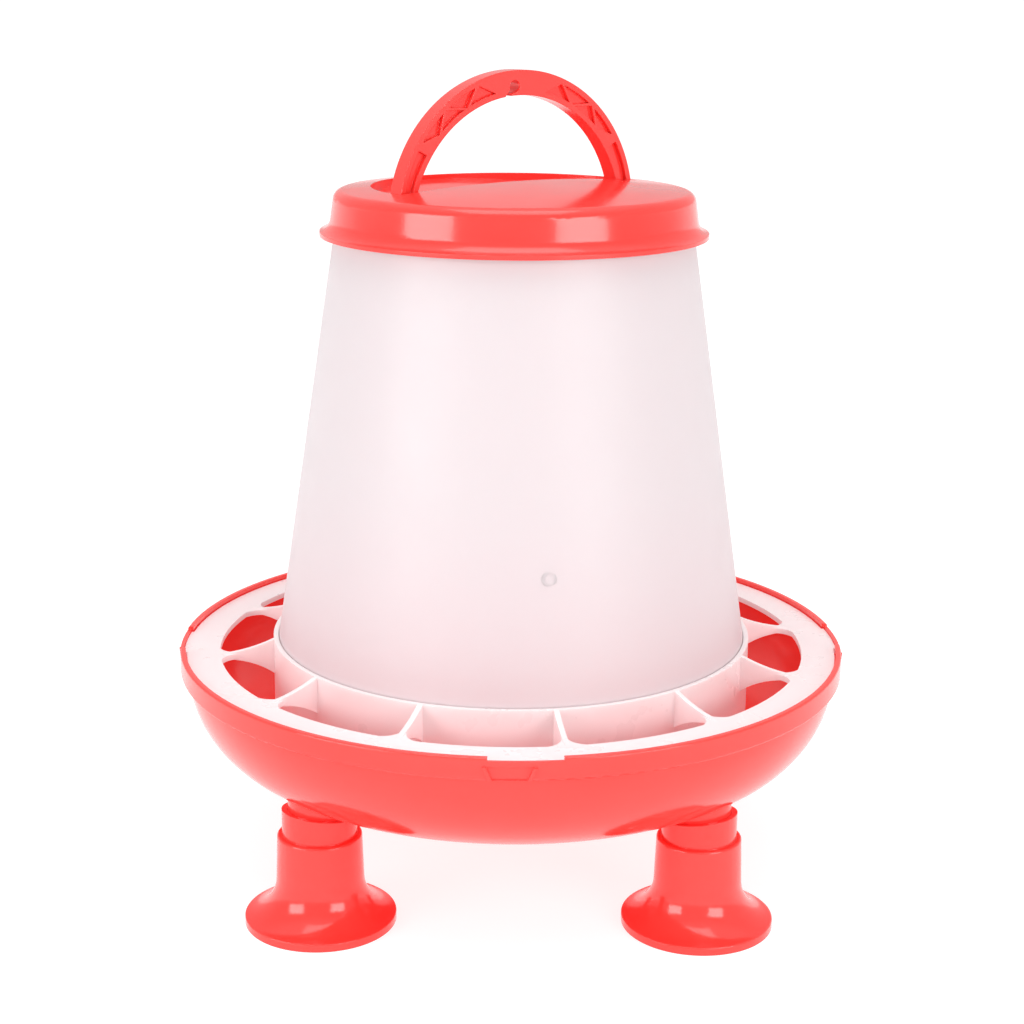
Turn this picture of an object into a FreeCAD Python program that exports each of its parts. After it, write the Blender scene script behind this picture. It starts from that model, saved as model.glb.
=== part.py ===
"""Hanging or free-standing poultry feeder: four-legged pan, feed grid, hopper drum, lid and bail handle.

Frame: origin on the ground at the centre of the pan, +Z up, front of the feeder towards -Y.
"""
import FreeCAD, Part
import Sketcher
import math
import os

from FreeCAD import Vector

Z_AXIS = Vector(0, 0, 1)
FEET = {"front_right": 45, "back_right": 135, "back_left": 225, "front_left": 315}

# Driving dimensions, millimetres and degrees. Azimuths run from the front (-Y) towards +X.
SIZES = {
    # pan
    "rim_radius": 134.5,
    "rim_top": 91.5,
    "rim_band": 8.5,
    "rim_wall": 2.2,
    "rim_round": 0.8,
    "rim_step": 3.0,
    "bowl_side_arc": 39.0,
    "bowl_depth": 47.7,
    "bowl_wall": 2.2,
    "cone_radius": 70.0,
    "cone_height": 34.0,
    "cone_tip_radius": 6.0,
    "peg_radius": 12.0,
    "peg_wall": 2.0,
    "peg_drop": 13.3,
    # bayonet between the pan and the feed grid
    "lug_width_angle": 11.0,
    "lug_azimuth": 2.4,
    "lug_reach": 1.0,
    "lug_gap": 0.3,
    "entry_play_angle": 0.6,
    "entry_dip": 1.2,
    "grip_bottom_width": 12.4,
    "grip_top_width": 16.6,
    "grip_low": 0.4,
    "grip_high": 5.2,
    "grip_depth": 0.8,
    "grip_rib": 1.5,
    "grip_rib_proud": 0.6,
    # legs
    "leg_inset": 31.6,
    "foot_radius": 29.2,
    "foot_edge": 3.2,
    "foot_edge_round": 0.5,
    "flare_arc": 15.5,
    "ankle_spread": 0.6,
    "ankle_height": 17.5,
    "neck_wall": 2.3,
    "neck_bowl_gap": 0.5,
    "neck_slant": 9.0,
    "stem_step": 1.9,
    "stem_rise": 0.7,
    "stem_round": 1.0,
    "leg_wall": 2.0,
    "peg_gap": 0.1,
    # feed grid
    "grid_drop": 2.0,
    "grid_plate": 2.2,
    "grid_gap": 0.5,
    "grid_ring_width": 13.2,
    "collar_radius": 97.0,
    "collar_wall": 1.9,
    "collar_rise": 5.5,
    "collar_skirt": 23.5,
    "lip_drop": 11.5,
    "lip_plate": 2.0,
    "lip_reach": 3.6,
    "fin_thickness": 2.0,
    "fin_azimuth": 10.0,
    "fin_foot_drop": 9.0,
    "fin_lower_sag": 2.1,
    "fin_upper_sag": 1.0,
    "fin_flare": 8.0,
    # hopper drum
    "drum_gap": 0.4,
    "drum_skirt": 17.5,
    "drum_top_radius": 69.05,
    "drum_height": 187.0,
    "drum_wall": 1.8,
    # lid
    "brim_reach": 4.3,
    "brim_drop": 8.6,
    "brim_edge": 1.6,
    "brim_arc": 5.4,
    "skirt_drop": 2.0,
    "shoulder_rise": 8.9,
    "shoulder_round": 4.0,
    "lid_taper": 1.0,
    "crown_height": 3.8,
    "lid_wall": 1.9,
    "lid_ledge": 0.6,
    "lid_drum_gap": 0.55,
    "recess_gap": 0.5,
    "recess_side_gap": 0.6,
    "recess_wall": 3.5,
    "recess_floor": 2.0,
    # handle
    "handle_turn": 35.0,
    "handle_fold_angle": 82.0,
    "arch_radius": 55.3,
    "arch_drop": 1.0,
    "arch_crown_depth": 9.5,
    "arch_foot_depth": 6.9,
    "handle_width": 7.5,
    "handle_web": 4.0,
    "handle_rail": 2.1,
    "truss_rib": 1.5,
    "truss_pitch_angle": 18.5,
    "truss_start_angle": 12.0,
    "channel_end_angle": 80.0,
    "pivot_rise": 5.5,
    "pin_radius": 2.2,
    "pin_gap": 0.05,
    "pin_reach": 3.0,
    "pin_end_gap": 0.2,
    "hook_radius": 2.4,
    "hook_slot": 2.6,
    "hook_offset": -3.0,
    "hook_depth": 6.2,
    "hook_lean": 4.5,
}
FINS = 12
LUGS = 4
TRUSS_TRIANGLES = 4


class Size:
    """A number together with the spreadsheet formula that gives it."""

    def __init__(self, value, formula):
        self.value = value
        self.formula = formula

    def _join(self, other, sign, turned=False):
        other = size(other)
        left, right = (other, self) if turned else (self, other)
        value = {
            "+": lambda: left.value + right.value,
            "-": lambda: left.value - right.value,
            "*": lambda: left.value * right.value,
            "/": lambda: left.value / right.value,
        }[sign]()
        return Size(value, "(%s %s %s)" % (left.formula, sign, right.formula))

    def __add__(self, other):
        return self._join(other, "+")

    def __radd__(self, other):
        return self._join(other, "+", True)

    def __sub__(self, other):
        return self._join(other, "-")

    def __rsub__(self, other):
        return self._join(other, "-", True)

    def __mul__(self, other):
        return self._join(other, "*")

    def __rmul__(self, other):
        return self._join(other, "*", True)

    def __truediv__(self, other):
        return self._join(other, "/")

    def __neg__(self):
        return 0 - self


def size(number):
    """Any number as a Size."""
    return number if isinstance(number, Size) else Size(float(number), repr(float(number)))


def root(number):
    return Size(math.sqrt(number.value), "sqrt(%s)" % number.formula)


def cosine(degrees):
    degrees = size(degrees)
    return Size(math.cos(math.radians(degrees.value)), "cos(%s)" % degrees.formula)


def sine(degrees):
    degrees = size(degrees)
    return Size(math.sin(math.radians(degrees.value)), "sin(%s)" % degrees.formula)


def tangent(degrees):
    return sine(degrees) / cosine(degrees)


def sagged(start, end, sag):
    """Radius of the arc between two points whose middle stands off the chord by a sag."""
    across = end[0] - start[0]
    up = end[1] - start[1]
    return (across * across + up * up) / (8 * sag) + sag / 2


def arc_height(radius, offset):
    """Height of a circle of this radius above its centre line at an offset from its axis."""
    return root(radius * radius - offset * offset)


doc = FreeCAD.newDocument("PoultryFeeder")
sheet = doc.addObject("Spreadsheet::Sheet", "Sizes")
for row, (alias, number) in enumerate(SIZES.items(), start=1):
    sheet.set("A%d" % row, alias)
    sheet.set("B%d" % row, str(number))
    sheet.setAlias("B%d" % row, alias)
doc.recompute()


class Names:
    """The spreadsheet's sizes by name."""


for alias, number in SIZES.items():
    setattr(Names, alias, Size(number, "Sizes." + alias))
n = Names


# ---------------------------------------------------------------- building blocks

def bind(item, path, amount):
    """Set one property of an object from the spreadsheet."""
    item.setExpression(path, size(amount).formula)


def new_body(name, base_z=0, turn=0):
    """A PartDesign body standing at a height on the feeder's axis, turned about it."""
    body = doc.addObject("PartDesign::Body", name)
    body.Label = name
    body.Placement = FreeCAD.Placement(Vector(0, 0, size(base_z).value),
                                       FreeCAD.Rotation(Z_AXIS, size(turn).value))
    bind(body, "Placement.Base.z", base_z)
    bind(body, "Placement.Rotation.Angle", turn)
    return body


def origin_plane(body, role):
    return next(item for item in body.Origin.OriginFeatures if item.Role == role)


def new_sketch(body, name, role="XZ_Plane", offset=0):
    """An empty sketch on one of the body's origin planes."""
    sketch = body.newObject("Sketcher::SketchObject", name)
    sketch.AttachmentSupport = [(origin_plane(body, role), "")]
    sketch.MapMode = "FlatFace"
    if size(offset).value:
        sketch.AttachmentOffset = FreeCAD.Placement(Vector(0, 0, size(offset).value),
                                                    FreeCAD.Rotation())
        bind(sketch, "AttachmentOffset.Base.z", offset)
    return sketch


def pin_down(sketch, edge, point, across, up):
    """Hold one end of an edge at its two coordinates."""
    for kind, axis, amount in (("DistanceX", -2, across), ("DistanceY", -1, up)):
        amount = size(amount)
        if abs(amount.value) < 1e-9:
            sketch.addConstraint(Sketcher.Constraint("PointOnObject", edge, point, axis))
            continue
        index = sketch.addConstraint(
            Sketcher.Constraint(kind, -1, 1, edge, point, amount.value))
        sketch.setExpression("Constraints[%d]" % index, amount.formula)


def outline(sketch, points):
    """A closed outline. A point is (across, up) or (across, up, radius of the arc that leads on).

    A positive radius bulges to the right of the way the outline runs, a negative one to the left.
    """
    first = sketch.GeometryCount
    corners = [Vector(size(point[0]).value, size(point[1]).value, 0) for point in points]
    for index, point in enumerate(points):
        start = corners[index]
        end = corners[(index + 1) % len(points)]
        if len(point) < 3:
            sketch.addGeometry(Part.LineSegment(start, end), False)
            continue
        radius = size(point[2])
        chord = end - start
        side = Vector(chord.y, -chord.x, 0).normalize() * math.copysign(1, radius.value)
        bulge = abs(radius.value) - math.sqrt(radius.value ** 2 - chord.Length ** 2 / 4)
        middle = (start + end) / 2 + side * bulge
        counter_clockwise = (start, middle, end) if radius.value > 0 else (end, middle, start)
        sketch.addGeometry(Part.Arc(*counter_clockwise), False)
    for index, point in enumerate(points):
        edge = first + index
        following = first + (index + 1) % len(points)
        geometry = sketch.Geometry[edge]
        start, end = ends(geometry, corners[index])
        next_start, _ = ends(sketch.Geometry[following], corners[(index + 1) % len(points)])
        sketch.addConstraint(Sketcher.Constraint("Coincident", edge, end, following, next_start))
        pin_down(sketch, edge, start, point[0], point[1])
        if len(point) == 3:
            radius = size(point[2])
            amount = radius if radius.value > 0 else -radius
            number = sketch.addConstraint(Sketcher.Constraint("Radius", edge, amount.value))
            sketch.setExpression("Constraints[%d]" % number, amount.formula)


def ends(geometry, start):
    """Which end of an edge, 1 or 2, is the given start, and which is the other."""
    near = (geometry.StartPoint - start).Length < (geometry.EndPoint - start).Length
    return (1, 2) if near else (2, 1)


def circles(sketch, across, up, radii):
    """Concentric circles."""
    for radius in radii:
        centre = Vector(size(across).value, size(up).value, 0)
        edge = sketch.addGeometry(Part.Circle(centre, Z_AXIS, radius.value), False)
        pin_down(sketch, edge, 3, across, up)
        number = sketch.addConstraint(Sketcher.Constraint("Radius", edge, radius.value))
        sketch.setExpression("Constraints[%d]" % number, radius.formula)


def sector(sketch, inner, outer, middle, width):
    """A piece of a flat ring, between two angles."""
    low = middle - width / 2
    high = middle + width / 2
    outline(sketch, [
        (inner * cosine(low), inner * sine(low)),
        (outer * cosine(low), outer * sine(low), outer),
        (outer * cosine(high), outer * sine(high)),
        (inner * cosine(high), inner * sine(high), -inner),
    ])


def turned(body, name, points, cut=False):
    """A solid of revolution about the body's upright axis, or a cut of that shape."""
    sketch = new_sketch(body, name + "_profile")
    outline(sketch, points)
    kind = "PartDesign::Groove" if cut else "PartDesign::Revolution"
    feature = body.newObject(kind, name)
    feature.Profile = sketch
    feature.ReferenceAxis = (sketch, ["V_Axis"])
    feature.Angle = 360
    return feature


def raised(body, name, sketch, height, cut=False, both_ways=False, down=False):
    """A pad of a sketch, or a pocket of one, by a height."""
    feature = body.newObject("PartDesign::Pocket" if cut else "PartDesign::Pad", name)
    feature.Profile = sketch
    feature.Type = "Length"
    feature.Length = size(height).value
    bind(feature, "Length", height)
    if both_ways:
        feature.Midplane = True
    feature.Reversed = down
    return feature


def around(body, name, features, count, axis_sketch, angle=360):
    """Copies of features about the normal of a sketch."""
    pattern = body.newObject("PartDesign::PolarPattern", name)
    pattern.Originals = features
    pattern.Axis = (axis_sketch, ["N_Axis"])
    pattern.Occurrences = count
    pattern.Angle = size(angle).value
    if isinstance(angle, Size):
        bind(pattern, "Angle", angle)
    body.Tip = pattern
    return pattern


def combine(kind, name, base, tool):
    """A Part boolean of two objects."""
    item = doc.addObject("Part::" + kind, name)
    item.Base = base
    item.Tool = tool
    item.Label = name
    return item


# ---------------------------------------------------------------- shared geometry

front = -90
band_bottom = n.rim_top - n.rim_band
floor = band_bottom - n.bowl_depth
bowl_radius = n.rim_radius - n.rim_step
rim_inner = n.rim_radius - n.rim_wall
leg_circle = n.rim_radius - n.leg_inset
peg_bottom = floor - n.peg_drop
grid_top = n.rim_top - n.grid_drop
grid_bottom = grid_top - n.grid_plate
collar_top = grid_top + n.collar_rise
lip_top = grid_top - n.lip_drop
drum_top = lip_top + n.drum_height
arch_centre = drum_top - n.arch_drop
pivot_height = arch_centre + n.pivot_rise


def bowl_curve(gap):
    """The bowl's underside, moved outwards by a gap: its two arcs, from the axis to the rim band."""
    radius, depth, side = bowl_radius, n.bowl_depth, n.bowl_side_arc
    base = (radius * radius + depth * depth - 2 * radius * side) / (2 * (depth - side))
    share = (base + gap) / (base - side)
    join = (share * (radius - side), floor + base - share * (base - depth))
    lowest = (size(0), floor - gap)
    top = (radius + gap, band_bottom)
    return lowest, base + gap, join, side + gap, top


# ---------------------------------------------------------------- pan

def make_pan():
    """The pan: round bowl with a rim band, a feed cone, four leg pegs and bayonet slots."""
    body = new_body("pan", turn=front)
    lowest, base_arc, join, side_arc, top = bowl_curve(size(0))
    edge = n.rim_round
    turned(body, "bowl_block", [
        (lowest[0], lowest[1], base_arc),
        (join[0], join[1], side_arc),
        top,
        (n.rim_radius - edge, band_bottom, edge),
        (n.rim_radius, band_bottom + edge),
        (n.rim_radius, n.rim_top - edge, edge),
        (n.rim_radius - edge, n.rim_top),
        (size(0), n.rim_top),
    ])

    pegs = new_sketch(body, "peg_section", "XY_Plane", peg_bottom)
    place = leg_circle * cosine(45)
    circles(pegs, place, place, [n.peg_radius, n.peg_radius - n.peg_wall])
    peg = raised(body, "peg", pegs, band_bottom - peg_bottom)
    around(body, "pegs", [peg], len(FEET), pegs)

    lowest, base_arc, join, side_arc, top = bowl_curve(-n.bowl_wall)
    foot_up = base_arc - arc_height(base_arc, n.cone_radius)
    turned(body, "bowl_inside", [
        (size(0), lowest[1] + n.cone_height),
        (n.cone_tip_radius, lowest[1] + n.cone_height - n.cone_tip_radius / 2),
        (n.cone_radius, lowest[1] + foot_up, base_arc),
        (join[0], join[1], side_arc),
        top,
        (top[0], grid_bottom),
        (rim_inner, grid_bottom),
        (rim_inner, n.rim_top + 1),
        (size(0), n.rim_top + 1),
    ], cut=True)

    under = n.cone_height - n.bowl_wall - n.bowl_wall / 2
    turned(body, "cone_inside", [
        (size(0), floor - 1),
        (n.cone_radius - n.bowl_wall, floor - 1),
        (n.cone_radius - n.bowl_wall, floor + n.bowl_wall),
        (n.cone_tip_radius, floor + under - n.cone_tip_radius / 2),
        (size(0), floor + under),
    ], cut=True)

    lug_channel = rim_inner + n.lug_reach - n.grid_gap + n.lug_gap
    turned(body, "lug_channel", [
        (rim_inner - 1, grid_bottom),
        (lug_channel, grid_bottom),
        (lug_channel, grid_top + n.lug_gap),
        (rim_inner - 1, grid_top + n.lug_gap),
    ], cut=True)

    width = n.lug_width_angle + n.entry_play_angle
    entry = new_sketch(body, "entry_section", "XY_Plane", n.rim_top)
    sector(entry, rim_inner - 1, lug_channel, n.lug_azimuth, width)
    entry_cut = raised(body, "entry", entry, n.grid_drop, cut=True)
    around(body, "entries", [entry_cut], LUGS, entry)
    dip = new_sketch(body, "dip_section", "XY_Plane", n.rim_top)
    sector(dip, rim_inner - 1, n.rim_radius + 1, n.lug_azimuth, width)
    dip_cut = raised(body, "dip", dip, n.entry_dip, cut=True)
    around(body, "dips", [dip_cut], LUGS, dip)

    frame = new_sketch(body, "grip_frame_section", "YZ_Plane", n.rim_radius - n.rim_wall / 2)
    grip_outline(frame, n.grip_rib)
    frame_pad = raised(body, "grip_frame", frame, n.rim_wall / 2 + n.grip_rib_proud)
    around(body, "grip_frames", [frame_pad], LUGS, entry)
    clear = n.grip_rib_proud + 1
    grip = new_sketch(body, "grip_section", "YZ_Plane", n.rim_radius + clear)
    grip_outline(grip, size(0))
    grip_cut = raised(body, "grip", grip, clear + n.grip_depth, cut=True)
    around(body, "grips", [grip_cut], LUGS, entry)
    return body


def grip_outline(sketch, extra):
    """The outline of a grip recess in the rim band, wider at the top, with an extra on each side."""
    low = n.grip_bottom_width / 2 + extra
    high = n.grip_top_width / 2 + extra
    bottom = band_bottom + n.grip_low
    top = band_bottom + n.grip_high
    outline(sketch, [(-low, bottom), (low, bottom), (high, top), (-high, top)])


# ---------------------------------------------------------------- legs

def make_leg(name, azimuth):
    """A hollow bell foot whose neck, slanted along the bowl, pushes over one of the pan's pegs."""
    turn = azimuth + front
    body = new_body(name, turn=turn)
    bind(body, "Placement.Base.x", leg_circle * cosine(turn))
    bind(body, "Placement.Base.y", leg_circle * sine(turn))
    bore = n.peg_radius + n.peg_gap
    neck = bore + n.neck_wall
    stem = neck + n.stem_step
    ankle = stem + n.ankle_spread
    stem_top = floor + n.stem_rise
    wall = n.leg_wall
    _, bowl_arc, _, _, _ = bowl_curve(size(0))
    neck_in = floor + bowl_arc - arc_height(bowl_arc, leg_circle - neck) - n.neck_bowl_gap
    neck_out = neck_in + 2 * neck * tangent(n.neck_slant)
    turned(body, name + "_bell", [
        (n.foot_radius - wall, size(0)),
        (n.foot_radius, size(0)),
        (n.foot_radius, n.foot_edge - n.foot_edge_round, n.foot_edge_round),
        (n.foot_radius - n.foot_edge_round, n.foot_edge, -n.flare_arc),
        (ankle, n.ankle_height),
        (stem, stem_top - n.stem_round, n.stem_round),
        (stem - n.stem_round, stem_top),
        (neck, stem_top),
        (neck, neck_out),
        (bore, neck_out),
        (bore, peg_bottom),
        (size(0), peg_bottom),
        (size(0), peg_bottom - wall),
        (ankle - wall, peg_bottom - wall),
        (ankle - wall, n.ankle_height - wall / 2, n.flare_arc + wall),
        (n.foot_radius - wall, n.foot_edge / 2),
    ])

    slant = new_sketch(body, name + "_neck_slant_profile")
    outline(slant, [
        (-neck, neck_in),
        (neck, neck_out),
        (neck, neck_out + wall),
        (-neck - wall, neck_out + wall),
        (-neck - wall, neck_in - wall * tangent(n.neck_slant)),
    ])
    raised(body, name + "_neck_slant", slant, 2 * stem, cut=True, both_ways=True)
    return body


# ---------------------------------------------------------------- feed grid

def make_grid():
    """The feed grid: a flat ring, a collar for the drum, and upright fins between them."""
    body = new_body("feed_grid", turn=front + n.fin_azimuth)
    outer = rim_inner - n.grid_gap
    inner = outer - n.grid_ring_width
    overlap = n.grid_plate
    collar_in = n.collar_radius - n.collar_wall
    lip_in = collar_in - n.lip_reach
    turned(body, "collar", [
        (collar_in, grid_top - n.collar_skirt),
        (n.collar_radius, grid_top - n.collar_skirt),
        (n.collar_radius, collar_top),
        (collar_in, collar_top),
        (collar_in, lip_top),
        (lip_in, lip_top),
        (lip_in, lip_top - n.lip_plate),
        (collar_in, lip_top - n.lip_plate),
    ])

    fin_foot = grid_top - n.fin_foot_drop
    in_collar = n.collar_radius - n.collar_wall / 2
    lower = sagged((n.collar_radius, fin_foot), (inner + 1, grid_bottom), n.fin_lower_sag)
    upper = sagged((inner, grid_top), (n.collar_radius, collar_top), n.fin_upper_sag)
    fin_plane = new_sketch(body, "fin_profile")
    outline(fin_plane, [
        (in_collar, fin_foot),
        (n.collar_radius, fin_foot, -lower),
        (inner + 1, grid_bottom),
        (inner + overlap, grid_bottom),
        (inner + overlap, grid_top),
        (inner, grid_top, -upper),
        (n.collar_radius, collar_top),
        (in_collar, collar_top),
    ])
    fin = raised(body, "fin", fin_plane, n.fin_thickness, both_ways=True)

    flare = new_sketch(body, "fin_flare_section", "XY_Plane", grid_bottom)
    half = n.fin_thickness / 2
    outline(flare, [
        (inner - n.fin_flare, -half),
        (inner - n.fin_flare, half, n.fin_flare),
        (inner, half + n.fin_flare),
        (inner + overlap, half + n.fin_flare),
        (inner + overlap, -half - n.fin_flare),
        (inner, -half - n.fin_flare, n.fin_flare),
    ])
    fin_flare = raised(body, "fin_flare", flare, n.grid_plate)
    around(body, "fins", [fin, fin_flare], FINS, flare)

    turned(body, "outer_ring", [
        (inner, grid_bottom),
        (outer, grid_bottom),
        (outer, grid_top),
        (inner, grid_top),
    ])

    lug = new_sketch(body, "lug_section", "XY_Plane", grid_bottom)
    sector(lug, outer - 1, outer + n.lug_reach, n.lug_azimuth - n.fin_azimuth, n.lug_width_angle)
    lug_pad = raised(body, "lug", lug, n.grid_plate)
    around(body, "lugs", [lug_pad], LUGS, lug)
    return body


# ---------------------------------------------------------------- hopper drum

def make_drum():
    """The hopper drum: a cone with a straight skirt that stands in the grid's collar."""
    body = new_body("hopper_drum")
    skirt = n.collar_radius - n.collar_wall - n.drum_gap
    shoulder = lip_top + n.drum_skirt
    wall = n.drum_wall
    turned(body, "drum", [
        (skirt - wall, lip_top),
        (skirt, lip_top),
        (skirt, shoulder),
        (n.drum_top_radius, drum_top),
        (n.drum_top_radius - wall, drum_top),
        (skirt - wall, shoulder),
    ])
    return body


# ---------------------------------------------------------------- lid

skirt_in = n.drum_top_radius + n.lid_drum_gap
skirt_radius = skirt_in + n.lid_wall
brim_radius = skirt_radius + n.brim_reach
brim_bottom = drum_top - n.brim_drop
skirt_bottom = drum_top - n.skirt_drop
lid_shoulder = drum_top + n.shoulder_rise
shoulder_radius = skirt_radius - n.lid_taper
crown_edge = shoulder_radius - n.shoulder_round
crown_arc = (crown_edge * crown_edge / n.crown_height + n.crown_height) / 2


def tilted_block(name, extra):
    """The space under the folded handle, grown by an amount below and in front of the pivot line."""
    slope = 90 - n.handle_fold_angle
    reach = 2 * brim_radius
    half = n.handle_width / 2 + n.recess_gap
    box = doc.addObject("Part::Box", name)
    box.Placement = FreeCAD.Placement(Vector(0, 0, 0), FreeCAD.Rotation(Vector(1, 0, 0), slope.value))
    bind(box, "Length", 2 * reach)
    bind(box, "Width", reach)
    bind(box, "Height", brim_radius)
    bind(box, "Placement.Base.x", -reach)
    bind(box, "Placement.Base.y", -half - extra)
    bind(box, "Placement.Base.z", pivot_height - half / cosine(slope) - half * tangent(slope) - extra)
    bind(box, "Placement.Rotation.Angle", slope)
    return box


def round_block(name, radius, extra):
    """A half-moon block: a round column met by the tilted block."""
    column = doc.addObject("Part::Cylinder", name + "_column")
    bind(column, "Radius", radius)
    bind(column, "Height", brim_radius)
    column.Placement = FreeCAD.Placement(Vector(0, 0, 0), FreeCAD.Rotation())
    bind(column, "Placement.Base.z", brim_bottom)
    return combine("Common", name, column, tilted_block(name + "_slope", extra))


def make_lid():
    """The lid: a flared cap with a crowned top and a half-moon recess for the folded handle."""
    block = new_body("lid_block")
    turned(block, "lid_outside", [
        (size(0), brim_bottom),
        (brim_radius, brim_bottom),
        (brim_radius, brim_bottom + n.brim_edge, -n.brim_arc),
        (skirt_radius, skirt_bottom),
        (shoulder_radius, lid_shoulder - n.shoulder_round, n.shoulder_round),
        (crown_edge, lid_shoulder, crown_arc),
        (size(0), lid_shoulder + n.crown_height),
    ])

    wall = n.lid_wall
    ledge = n.drum_top_radius - n.drum_wall - n.lid_ledge
    inner_arc = crown_arc - wall
    inner_top = lid_shoulder + n.crown_height - wall
    inner_edge = inner_top - inner_arc + arc_height(inner_arc, ledge)
    hollow = new_body("lid_hollow")
    turned(hollow, "lid_inside", [
        (size(0), brim_bottom - 1),
        (brim_radius - wall, brim_bottom - 1),
        (brim_radius - wall, brim_bottom + n.brim_edge, -n.brim_arc),
        (skirt_in, skirt_bottom),
        (skirt_in, drum_top),
        (ledge, drum_top),
        (ledge, inner_edge, inner_arc),
        (size(0), inner_top),
    ])

    room = n.arch_radius + n.recess_side_gap
    tub = round_block("lid_tub", room + n.recess_wall, n.recess_floor)
    recess = round_block("lid_recess", room, size(0))
    shell = combine("Cut", "lid_shell", block, combine("Cut", "lid_void", hollow, tub))
    bore = doc.addObject("Part::Cylinder", "lid_pin_bore")
    bore.Placement = FreeCAD.Placement(Vector(0, 0, 0), FreeCAD.Rotation(Vector(0, 1, 0), 90))
    half_length = n.arch_radius + n.pin_reach + n.pin_end_gap
    bind(bore, "Radius", n.pin_radius + n.pin_gap)
    bind(bore, "Height", 2 * half_length)
    bind(bore, "Placement.Base.x", -half_length)
    bind(bore, "Placement.Base.z", pivot_height)
    lid = combine("Cut", "lid", shell, combine("Fuse", "lid_handle_room", recess, bore))
    lid.Placement = FreeCAD.Placement(Vector(0, 0, 0), FreeCAD.Rotation(Z_AXIS, n.handle_turn.value))
    bind(lid, "Placement.Rotation.Angle", n.handle_turn)
    return lid


# ---------------------------------------------------------------- handle

arch_end = arc_height(n.arch_radius, n.pivot_rise)
inner_end = arch_end - n.arch_foot_depth
inner_crown = n.arch_radius - n.arch_crown_depth
inner_rise = inner_crown - n.pivot_rise
inner_arc_radius = (inner_rise * inner_rise + inner_end * inner_end) / (2 * inner_rise)
inner_centre = inner_crown - inner_arc_radius


def on_outer(angle, inset):
    """A point inset from the arch's outer curve, at an angle about the arch's centre."""
    radius = n.arch_radius - inset
    return radius * cosine(angle), radius * sine(angle)


def on_inner(angle, inset):
    """A point inset from the arch's inner curve, which has its own centre, at the same angle."""
    arc = inner_arc_radius + inset
    radius = inner_centre * sine(angle) + arc_height(arc, inner_centre * cosine(angle))
    return radius * cosine(angle), radius * sine(angle)


def channel(sketch, low, high, inset):
    """The stretch of the arch between two angles, inset from both of its curves."""
    start, end = on_outer(low, inset), on_outer(high, inset)
    back, last = on_inner(high, inset), on_inner(low, inset)
    outline(sketch, [
        (start[0], start[1], n.arch_radius - inset),
        end,
        (back[0], back[1], -(inner_arc_radius + inset)),
        last,
    ])


def truss_triangle(sketch, middle, width, base_inside):
    """One opening of the truss: its base along a rail and its tip at the other rail."""
    low, high = middle - width / 2, middle + width / 2
    rail = n.handle_rail
    if base_inside:
        start, end = on_inner(low, rail), on_inner(high, rail)
        outline(sketch, [(start[0], start[1], inner_arc_radius + rail), end, on_outer(middle, rail)])
    else:
        start, end = on_outer(high, rail), on_outer(low, rail)
        outline(sketch, [(start[0], start[1], -(n.arch_radius - rail)), end, on_inner(middle, rail)])


def make_handle():
    """The bail handle: a half-round arch with a trussed web, pivot pins and a hanging keyhole."""
    body = new_body("handle", base_z=arch_centre, turn=n.handle_turn)
    pivot = n.pivot_rise
    arch = new_sketch(body, "arch_profile")
    outline(arch, [
        (arch_end, pivot, n.arch_radius),
        (size(0), n.arch_radius, n.arch_radius),
        (-arch_end, pivot),
        (-inner_end, pivot, -inner_arc_radius),
        (size(0), inner_crown, -inner_arc_radius),
        (inner_end, pivot),
    ])
    raised(body, "arch", arch, n.handle_width, both_ways=True)

    limb_in = inner_end + n.pin_end_gap
    limb_out = arch_end - n.pin_end_gap
    pin_out = n.arch_radius + n.pin_reach
    through = 2 * n.handle_width
    rib_angle = n.truss_rib / inner_arc_radius * (180 / math.pi)
    half_pitch = n.truss_pitch_angle / 2
    truss_end = n.truss_start_angle + (TRUSS_TRIANGLES + 1) * half_pitch
    for side, label in ((1, "right"), (-1, "left")):
        foot = new_sketch(body, label + "_foot_section", "YZ_Plane", side * limb_in)
        circles(foot, 0, pivot, [n.handle_width / 2])
        raised(body, label + "_foot", foot, limb_out - limb_in, down=side < 0)
        pin = new_sketch(body, label + "_pin_section", "YZ_Plane", side * limb_in)
        circles(pin, 0, pivot, [n.pin_radius])
        raised(body, label + "_pin", pin, pin_out - limb_in, down=side < 0)

        truss = new_sketch(body, label + "_truss_profile")
        for index in range(TRUSS_TRIANGLES):
            middle = 90 - side * (n.truss_start_angle + (index + 1) * half_pitch)
            truss_triangle(truss, middle, n.truss_pitch_angle - 2 * rib_angle, index % 2 == 0)
        raised(body, label + "_truss", truss, through, cut=True, both_ways=True)
        plain = [90 - side * (truss_end + rib_angle), 90 - side * n.channel_end_angle]
        plain.sort(key=lambda angle: angle.value)
        limb = new_sketch(body, label + "_limb_profile")
        channel(limb, plain[0], plain[1], n.handle_rail)
        raised(body, label + "_limb_channel", limb, through, cut=True, both_ways=True)

    hook = new_sketch(body, "hook_profile")
    across = n.hook_offset
    up = n.arch_radius - n.hook_depth
    circles(hook, across, up, [n.hook_radius])
    raised(body, "hook_hole", hook, through, cut=True, both_ways=True)
    slot = new_sketch(body, "slot_profile")
    half = n.hook_slot / 2
    below = inner_crown - n.hook_slot
    outline(slot, [
        (across - half, up),
        (across - half - n.hook_lean, below),
        (across + half - n.hook_lean, below),
        (across + half, up),
    ])
    raised(body, "hook_slot", slot, through, cut=True, both_ways=True)

    for side, label in ((1, "right"), (-1, "left")):
        span = [90 - side * n.truss_start_angle, 90 - side * n.channel_end_angle]
        span.sort(key=lambda angle: angle.value)
        web = new_sketch(body, label + "_web_profile")
        channel(web, span[0], span[1], n.handle_rail / 2)
        raised(body, label + "_web", web, n.handle_web, both_ways=True)
    return body


# ---------------------------------------------------------------- assembly

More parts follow.
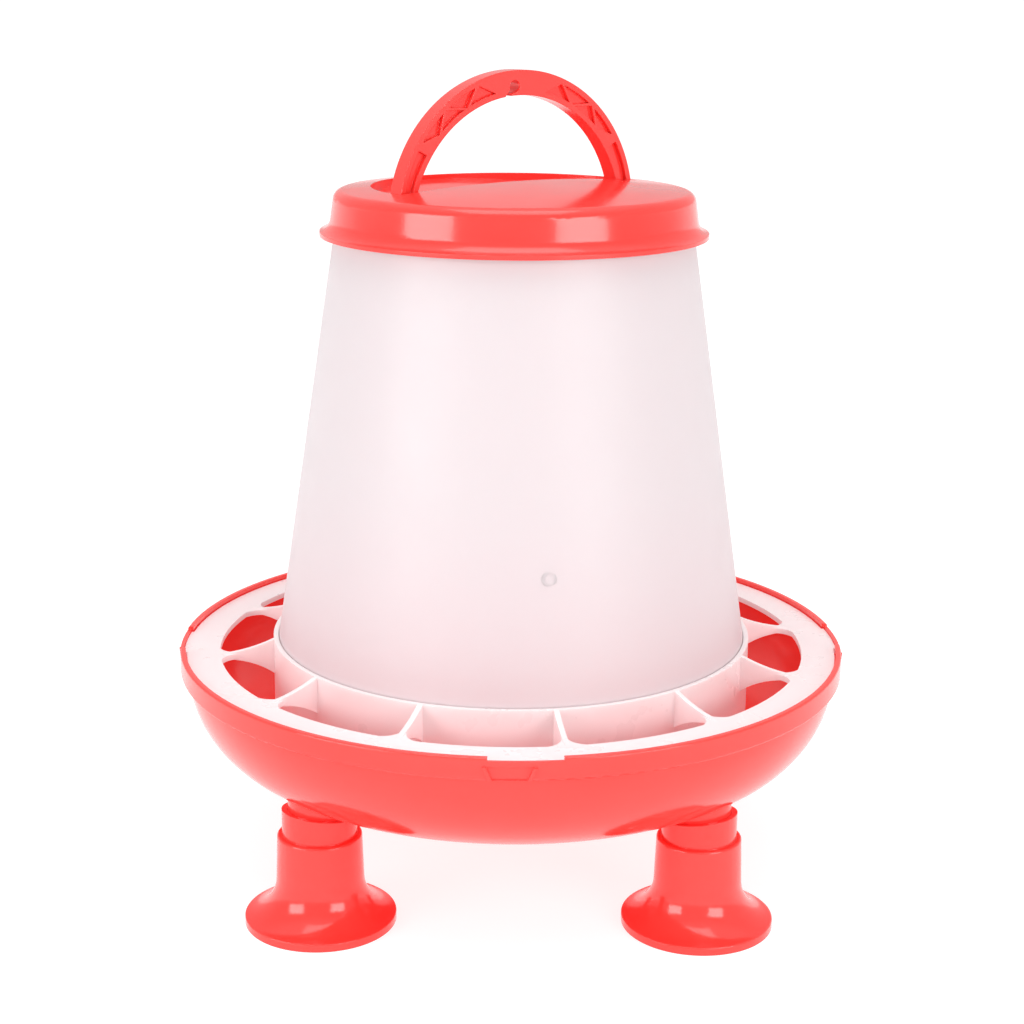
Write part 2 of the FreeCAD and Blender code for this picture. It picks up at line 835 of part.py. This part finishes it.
def check(items):
    """Stop if any object failed or any sub-part is missing or broken."""
    for item in doc.Objects:
        if "Invalid" in item.State or "Error" in item.State:
            raise RuntimeError("%s failed: %s" % (item.Name, item.State))
    for name, item in items.items():
        shape = item.Shape
        if shape.isNull() or not shape.isValid() or len(shape.Solids) != 1:
            raise RuntimeError("%s is not one sound solid" % name)


def main():
    items = {"pan": make_pan()}
    for corner, azimuth in FEET.items():
        items["leg_" + corner] = make_leg("leg_" + corner, azimuth)
    items["feed_grid"] = make_grid()
    items["hopper_drum"] = make_drum()
    items["lid"] = make_lid()
    items["handle"] = make_handle()
    doc.recompute()
    check(items)
    os.makedirs("parts", exist_ok=True)
    for name, item in items.items():
        item.Shape.exportStep("parts/%s.step" % name)
        print("%-18s %9.1f mm3" % (name, item.Shape.Volume))


main()
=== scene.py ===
"""Poultry feeder: materials, fine moulding detail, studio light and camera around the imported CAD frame."""
import bpy
import math
from mathutils import Matrix, Vector


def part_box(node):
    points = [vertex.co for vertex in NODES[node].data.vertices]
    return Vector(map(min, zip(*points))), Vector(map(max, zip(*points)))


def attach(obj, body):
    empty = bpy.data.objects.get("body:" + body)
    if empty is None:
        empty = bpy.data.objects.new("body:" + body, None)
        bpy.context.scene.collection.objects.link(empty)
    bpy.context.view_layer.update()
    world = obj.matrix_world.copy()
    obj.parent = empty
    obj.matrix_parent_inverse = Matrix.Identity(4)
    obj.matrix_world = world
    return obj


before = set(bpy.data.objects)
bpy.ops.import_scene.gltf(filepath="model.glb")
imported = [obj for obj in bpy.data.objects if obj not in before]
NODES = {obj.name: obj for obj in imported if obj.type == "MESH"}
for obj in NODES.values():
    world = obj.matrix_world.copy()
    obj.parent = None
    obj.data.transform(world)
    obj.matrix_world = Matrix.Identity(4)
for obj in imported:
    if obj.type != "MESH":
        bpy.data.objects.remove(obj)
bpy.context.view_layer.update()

WHITE = (1, 1, 1, 1)
POLYPROPYLENE_IOR = 1.49


# ---------------------------------------------------------------- camera

def make_camera():
    """The fitted camera: in front of the feeder, above it and looking down at it."""
    distance = 0.777
    height = 0.352
    pitch = math.radians(14.98)
    roll = math.radians(0.48)
    camera = bpy.data.cameras.new("camera")
    camera.lens = 69.8
    camera.sensor_width = 36
    eye = bpy.data.objects.new("camera", camera)
    eye.matrix_world = (Matrix.Translation((0, -distance, height))
                        @ Matrix.Rotation(math.pi / 2 - pitch, 4, "X")
                        @ Matrix.Rotation(roll, 4, "Z"))
    bpy.context.scene.collection.objects.link(eye)
    bpy.context.scene.camera = eye


# ---------------------------------------------------------------- light and floor

def soft_box(name, azimuth, distance, centre, aim, width, height, radiance):
    """A rectangular area light facing a height on the axis. Azimuth 0 is in front (-Y), 90 at +X."""
    light = bpy.data.lights.new(name, "AREA")
    light.shape = "RECTANGLE"
    light.size = width
    light.size_y = height
    light.energy = radiance * math.pi * width * height
    lamp = bpy.data.objects.new(name, light)
    turn = math.radians(azimuth)
    lamp.location = (distance * math.sin(turn), -distance * math.cos(turn), centre)
    lamp.rotation_euler = (Vector((0, 0, aim)) - lamp.location).to_track_quat("-Z", "Y").to_euler()
    bpy.context.scene.collection.objects.link(lamp)


def make_world():
    """A white studio: bright behind and above, dimmer on the camera's side, white at the horizon."""
    world = bpy.data.worlds.new("studio")
    bpy.context.scene.world = world
    world.use_nodes = True
    tree = world.node_tree
    tree.nodes.clear()
    link = tree.links.new
    where = tree.nodes.new("ShaderNodeTexCoord")
    split = tree.nodes.new("ShaderNodeSeparateXYZ")
    link(where.outputs["Generated"], split.inputs[0])

    def ramp(axis, start, stop, low, high):
        """A brightness that runs smoothly from low to high along one axis of the direction."""
        node = tree.nodes.new("ShaderNodeMapRange")
        node.interpolation_type = "SMOOTHSTEP"
        node.inputs["From Min"].default_value = start
        node.inputs["From Max"].default_value = stop
        node.inputs["To Min"].default_value = low
        node.inputs["To Max"].default_value = high
        link(split.outputs[axis], node.inputs["Value"])
        return node.outputs[0]

    def brighter(one, other):
        """The higher of two brightnesses."""
        node = tree.nodes.new("ShaderNodeMath")
        node.operation = "MAXIMUM"
        link(one, node.inputs[0])
        link(other, node.inputs[1])
        return node.outputs[0]

    behind = ramp("Y", -0.75, 0.15, 0.55, 0.62)
    above = ramp("Z", 0.35, 0.9, 0.0, 1.0)
    horizon = ramp("Z", 0.02, 0.05, 1.05, 0.0)
    shade = tree.nodes.new("ShaderNodeBackground")
    out = tree.nodes.new("ShaderNodeOutputWorld")
    shade.inputs["Color"].default_value = WHITE
    link(brighter(brighter(behind, above), horizon), shade.inputs["Strength"])
    link(shade.outputs[0], out.inputs["Surface"])


def make_floor():
    """A wide pale sheet under the feeder, lit a little from within so that its far edge stays white."""
    sides = 96
    reach = 40.0
    grey = 0.38
    within = 0.8
    turns = [2 * math.pi * step / sides for step in range(sides)]
    corners = [(reach * math.cos(turn), reach * math.sin(turn), 0) for turn in turns]
    mesh = bpy.data.meshes.new("floor")
    mesh.from_pydata(corners, [], [tuple(range(sides))])
    floor = bpy.data.objects.new("floor", mesh)
    bpy.context.scene.collection.objects.link(floor)
    paper = bpy.data.materials.new("floor_paper")
    paper.use_nodes = True
    shader = paper.node_tree.nodes["Principled BSDF"]
    shader.inputs["Base Color"].default_value = (grey, grey, grey, 1)
    shader.inputs["Roughness"].default_value = 0.9
    shader.inputs["Specular IOR Level"].default_value = 0.0
    shader.inputs["Emission Color"].default_value = WHITE
    shader.inputs["Emission Strength"].default_value = within
    mesh.materials.append(paper)


# ---------------------------------------------------------------- materials

class Nodes:
    """A material's node tree with short calls to add to it."""

    def __init__(self, name):
        self.material = bpy.data.materials.new(name)
        self.material.use_nodes = True
        self.tree = self.material.node_tree
        self.shader = self.tree.nodes["Principled BSDF"]
        self.place = self.add("ShaderNodeTexCoord").outputs["Object"]

    def add(self, kind, **settings):
        """A new node, with its sockets or its own properties set by name."""
        node = self.tree.nodes.new(kind)
        for key, setting in settings.items():
            if key in node.inputs:
                node.inputs[key].default_value = setting
            else:
                setattr(node, key, setting)
        return node

    def link(self, source, target):
        self.tree.links.new(source, target)

    def feed(self, socket, source):
        """Give one of the shader's sockets a value that varies over the surface."""
        self.link(source, self.shader.inputs[socket])

    def fix(self, socket, setting):
        """Give one of the shader's sockets a value that is the same all over."""
        self.shader.inputs[socket].default_value = setting

    def noise(self, scale, detail=3.0, stretch=None):
        """Noise in the object's own space, in cells per metre."""
        node = self.add("ShaderNodeTexNoise", Scale=scale, Detail=detail)
        source = self.place
        if stretch:
            squeeze = self.add("ShaderNodeMapping")
            squeeze.inputs["Scale"].default_value = stretch
            self.link(source, squeeze.inputs["Vector"])
            source = squeeze.outputs["Vector"]
        self.link(source, node.inputs["Vector"])
        return node.outputs[0]

    def spread(self, source, low, high, start=0.0, stop=1.0):
        """A value remapped to a range."""
        node = self.add("ShaderNodeMapRange")
        node.inputs["From Min"].default_value = start
        node.inputs["From Max"].default_value = stop
        node.inputs["To Min"].default_value = low
        node.inputs["To Max"].default_value = high
        self.link(source, node.inputs["Value"])
        return node.outputs[0]

    def mix(self, factor, low, high):
        """Two colours mixed by a value; each is a colour or a socket that gives one."""
        node = self.add("ShaderNodeMix", data_type="RGBA")
        self.link(factor, node.inputs["Factor"])
        first_colour, second_colour, mixed_colour = 6, 7, 2
        for index, colour in ((first_colour, low), (second_colour, high)):
            if hasattr(colour, "is_linked"):
                self.link(colour, node.inputs[index])
            else:
                node.inputs[index].default_value = (*colour, 1)
        return node.outputs[mixed_colour]

    def bump(self, height, distance, strength=1.0, under=None):
        """Normals bent by a height, of a depth in metres, over any normals given."""
        node = self.add("ShaderNodeBump", Strength=strength, Distance=distance)
        self.link(height, node.inputs["Height"])
        if under:
            self.link(under, node.inputs["Normal"])
        return node.outputs["Normal"]

    def height_share(self, low, high):
        """0 below one height of the feeder and 1 above another, in metres."""
        split = self.add("ShaderNodeSeparateXYZ")
        self.link(self.place, split.inputs[0])
        return self.spread(split.outputs["Z"], 0, 1, low, high)

    def soft_edges(self, radius):
        """Normals rounded over sharp edges, as moulded edges are."""
        return self.add("ShaderNodeBevel", samples=4, Radius=radius).outputs["Normal"]


def red_plastic(name, deep, bright, rough, painted_glow=0.0):
    """Glossy injection-moulded polypropylene with faint flow, waviness and smudges.

    The emission is painted light: an even red emission over the whole part, used to lighten the pan's shaded
    inside.
    """
    make = Nodes(name)
    flow = make.noise(scale=14, detail=4, stretch=(1, 1, 2.5))
    shade = make.spread(flow, 0, 1, start=0.3, stop=0.7)
    make.feed("Base Color", make.mix(shade, deep, bright))
    smudge = make.noise(scale=45, detail=5)
    make.feed("Roughness", make.spread(smudge, rough - 0.04, rough + 0.06, start=0.3, stop=0.75))
    rounded = make.soft_edges(radius=0.0005)
    wave = make.bump(make.noise(scale=26, detail=2), distance=0.0004, strength=0.3, under=rounded)
    grain = make.bump(make.noise(scale=450, detail=2), distance=0.00003, strength=0.3, under=wave)
    make.feed("Normal", grain)
    make.fix("IOR", POLYPROPYLENE_IOR)
    make.fix("Subsurface Weight", 0.12)
    make.fix("Subsurface Radius", (0.005, 0.001, 0.0008))
    make.fix("Subsurface Scale", 1.0)
    make.fix("Coat Weight", 0.15)
    make.fix("Coat Roughness", 0.08)
    # Painted light: an even red emission that lightens the whole part.
    make.fix("Emission Color", (1.0, 0.05, 0.045, 1))
    make.fix("Emission Strength", painted_glow)
    return make.material


def milky_plastic(name, low_end_painted_pan_light, high_end, painted_pan_light_span, rough, depth, painted_glow):
    """Natural polypropylene: milky, a little see-through, satin, with vertical flow streaks.

    Its colour runs from low_end_painted_pan_light to high_end over a range of heights: the pinker colour
    near the red pan is painted red light from the pan.
    Its emission is painted light in the same colour as the surface, standing in for light that the thin wall
    lets through from its other side.
    """
    streak_colour = (0.595, 0.51, 0.525)
    make = Nodes(name)
    # Painted light: the colour turns pink towards the red pan, standing in for the pan's red light on the
    # milky wall.
    base_with_painted_pan_light = make.mix(make.height_share(*painted_pan_light_span), low_end_painted_pan_light, high_end)
    flow = make.noise(scale=9, detail=4, stretch=(1, 1, 0.12))
    streak = make.spread(flow, 0, 0.35, start=0.35, stop=0.75)
    make.feed("Base Color", make.mix(streak, base_with_painted_pan_light, streak_colour))
    haze = make.noise(scale=60, detail=4)
    make.feed("Roughness", make.spread(haze, rough - 0.05, rough + 0.07, start=0.3, stop=0.7))
    wave = make.bump(make.noise(scale=18, detail=2), distance=0.0004, strength=0.25)
    grain = make.bump(make.noise(scale=350, detail=2), distance=0.00002, strength=0.15, under=wave)
    make.feed("Normal", grain)
    make.fix("IOR", POLYPROPYLENE_IOR)
    make.fix("Subsurface Weight", 0.35)
    make.fix("Subsurface Radius", depth)
    make.fix("Subsurface Scale", 1.0)
    # Painted light: an even emission in the surface's colour, pink included, that lightens the part.
    make.feed("Emission Color", base_with_painted_pan_light)
    make.fix("Emission Strength", painted_glow)
    return make.material


def paint(node, material):
    """Give a CAD node one material."""
    for slot in NODES[node].material_slots:
        slot.link = "OBJECT"
        slot.material = material


# ---------------------------------------------------------------- moulding marks on the drum

def drum_point(azimuth, height, proud):
    """A point on the drum's cone, standing proud of it, with the outward direction there."""
    near = 0.0005
    foot_radius, _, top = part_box("hopper_drum")[1]
    corners = [corner.co for corner in NODES["hopper_drum"].data.vertices]
    top_radius = max(corner.xy.length for corner in corners if corner.z > top - near)
    shoulder = max(corner.z for corner in corners if corner.xy.length > foot_radius - near)
    lean = (foot_radius - top_radius) / (top - shoulder)
    radius = top_radius + lean * (top - height)
    turn = math.radians(azimuth - 90)
    tilt = math.atan(lean)
    sideways = Vector((math.cos(turn), math.sin(turn), 0))
    outward = sideways * math.cos(tilt) + Vector((0, 0, math.sin(tilt)))
    return sideways * radius + Vector((0, 0, height)) + outward * proud, outward


def gate_mark(azimuth, height, radius, material):
    """The trimmed injection gate: a shallow round bead with a dimple in the middle."""
    sunk = 0.0003
    relief = 0.0005
    steps = 48
    dimple = 0.2
    profile = [(1.0, 0.0), (0.9, 0.45), (0.72, 0.6), (0.5, 0.5), (0.3, 0.25), (0.12, dimple)]
    centre, outward = drum_point(azimuth, height, -sunk)
    turn = outward.to_track_quat("Z", "Y").to_matrix().to_4x4()
    points = [Vector((0, 0, relief * dimple))]
    for share, rise in profile:
        reach = radius * share
        for step in range(steps):
            around = 2 * math.pi * step / steps
            points.append(Vector((reach * math.cos(around), reach * math.sin(around), relief * rise)))
    last = 1 + (len(profile) - 1) * steps
    faces = [(0, last + step, last + (step + 1) % steps) for step in range(steps)]
    for ring in range(len(profile) - 1):
        for step in range(steps):
            after = (step + 1) % steps
            outer = 1 + ring * steps
            inner = outer + steps
            faces.append((outer + step, outer + after, inner + after, inner + step))
    faces.append(tuple(1 + step for step in reversed(range(steps))))
    mesh = bpy.data.meshes.new("drum_gate_mark")
    mesh.from_pydata([centre + turn @ point for point in points], [], faces)
    for face in mesh.polygons:
        face.use_smooth = True
    mesh.materials.append(material)
    mark = bpy.data.objects.new("drum_gate_mark", mesh)
    bpy.context.scene.collection.objects.link(mark)
    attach(mark, "drum")


# ---------------------------------------------------------------- the whole scene

def main():
    deep_red = (0.90, 0.040, 0.032)
    bright_red = (0.95, 0.050, 0.042)
    gloss = 0.16
    red = red_plastic("red_moulded", deep_red, bright_red, gloss)
    # The pan's red carries painted light: an even emission that lightens its shaded inside.
    red_pan_painted_light = red_plastic("red_pan_painted_light", deep_red, bright_red, gloss, painted_glow=0.14)
    drum_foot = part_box("hopper_drum")[0][2]
    # Over this height the drum turns from painted pink pan light at its foot to its own milky colour.
    painted_pan_light_fade = 0.09
    milky = milky_plastic("milky_drum", (0.645, 0.52, 0.54), (0.615, 0.55, 0.565),
                          (drum_foot, drum_foot + painted_pan_light_fade), rough=0.46,
                          depth=(0.006, 0.005, 0.005), painted_glow=0.04)
    grid_low, grid_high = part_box("feed_grid")
    # The grid is pinker low down, which is painted red light from the pan it sits in. It also has an even
    # painted emission that lightens it.
    grid = milky_plastic("milky_grid", (0.84, 0.60, 0.62), (0.78, 0.70, 0.70),
                         (grid_low[2], grid_high[2]), rough=0.3,
                         depth=(0.005, 0.004, 0.004), painted_glow=0.16)
    for node in NODES:
        paint(node, red)
    paint("pan", red_pan_painted_light)
    paint("hopper_drum", milky)
    paint("feed_grid", grid)
    gate_mark(azimuth=9, height=0.142, radius=0.0032, material=milky)
    make_world()
    make_floor()
    for side, azimuth in (("left_box", -53), ("right_box", 41)):
        soft_box(side, azimuth, distance=1.3, centre=0.42, aim=0.3,
                 width=0.75, height=0.5, radiance=6.0)
    soft_box("top_box", azimuth=0, distance=0.3, centre=1.7, aim=0.2,
             width=1.2, height=1.2, radiance=2.4)
    make_camera()
    bpy.context.scene.view_settings.view_transform = "Standard"
    bpy.context.scene.view_settings.look = "None"


main()
